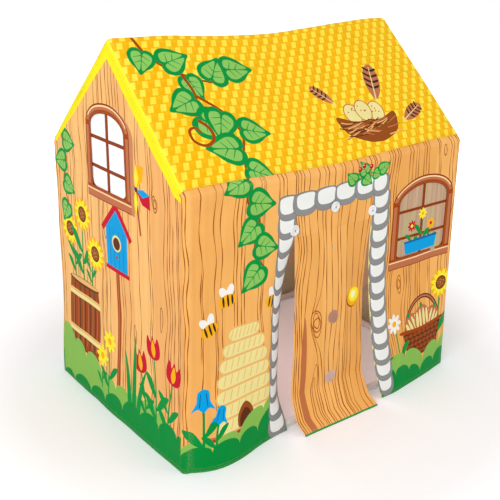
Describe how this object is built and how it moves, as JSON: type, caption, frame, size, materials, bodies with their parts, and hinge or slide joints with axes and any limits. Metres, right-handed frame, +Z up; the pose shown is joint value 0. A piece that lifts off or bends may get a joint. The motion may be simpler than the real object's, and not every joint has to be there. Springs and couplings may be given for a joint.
{
  "type": "play tent",
  "caption": "Child's play tent shaped like a small house: tube frame, cloth walls and roof, film windows, and a door flap that lifts and folds.",
  "frame": {"origin": "on the floor, at the middle of the tent's overall box", "axes": "+X to the right along the front wall, +Y from the door towards the back wall, +Z up"},
  "size_m": [1.0322, 0.7612, 1.0843],
  "materials": {
    "tube_plastic": "white extruded tube, satin",
    "fitting_plastic": "white moulded fitting, fine texture",
    "wall_cloth": "printed coated polyester, low sheen",
    "roof_cloth": "printed coated polyester, low sheen",
    "door_cloth": "printed coated polyester, low sheen",
    "window_film": "thin milky film",
    "snap_disc": "clear moulded disc",
    "snap_rivet": "small dark moulded rivet",
    "loop_patch": "looped fastener patch"
  },
  "bodies": {
    "house": {"back_eave_rail_coupler": "fitting_plastic", "back_eave_rail_left": "tube_plastic", "back_eave_rail_right": "tube_plastic", "back_floor_rail_coupler": "fitting_plastic", "back_floor_rail_left": "tube_plastic", "back_floor_rail_right": "tube_plastic", "back_left_post": "tube_plastic", "back_left_rafter": "tube_plastic", "back_right_post": "tube_plastic", "back_right_rafter": "tube_plastic", "back_wall": "wall_cloth", "door_disc_left": "snap_disc", "door_disc_right": "snap_disc", "door_disc_top": "snap_disc", "door_rivet_left": "snap_rivet", "door_rivet_right": "snap_rivet", "door_rivet_top": "snap_rivet", "eave_corner_back_left": "fitting_plastic", "eave_corner_back_right": "fitting_plastic", "eave_corner_front_left": "fitting_plastic", "eave_corner_front_right": "fitting_plastic", "floor_corner_back_left": "fitting_plastic", "floor_corner_back_right": "fitting_plastic", "floor_corner_front_left": "fitting_plastic", "floor_corner_front_right": "fitting_plastic", "front_eave_rail_coupler": "fitting_plastic", "front_eave_rail_left": "tube_plastic", "front_eave_rail_right": "tube_plastic", "front_floor_rail_coupler": "fitting_plastic", "front_floor_rail_left": "tube_plastic", "front_floor_rail_right": "tube_plastic", "front_left_post": "tube_plastic", "front_left_rafter": "tube_plastic", "front_right_post": "tube_plastic", "front_right_rafter": "tube_plastic", "front_wall": "wall_cloth", "front_window_film": "window_film", "left_floor_rail": "tube_plastic", "left_gable_wall": "wall_cloth", "left_window_film": "window_film", "ridge_joint_left": "fitting_plastic", "ridge_joint_right": "fitting_plastic", "ridge_pole_coupler": "fitting_plastic", "ridge_pole_left": "tube_plastic", "ridge_pole_right": "tube_plastic", "right_floor_rail": "tube_plastic", "right_gable_wall": "wall_cloth", "right_window_film": "window_film", "roof_sheet": "roof_cloth"},
    "door_top": {"door_flap_upper": "door_cloth", "door_stud": "snap_disc"},
    "door_bottom": {"door_flap_lower": "door_cloth", "door_patch_upper": "loop_patch", "door_patch_lower": "loop_patch"}
  },
  "joints": [
    {"name": "door_lift", "type": "hinge", "parent": "house", "child": "door_top", "pos_m": [0, -0.31935, 0.582], "axis": [-1, 0, 0], "range_deg": [0, 100]},
    {"name": "door_fold", "type": "hinge", "parent": "door_top", "child": "door_bottom", "pos_m": [0, -0.33272, 0.352], "axis": [-1, 0, 0], "range_deg": [0, 120]}
  ]
}
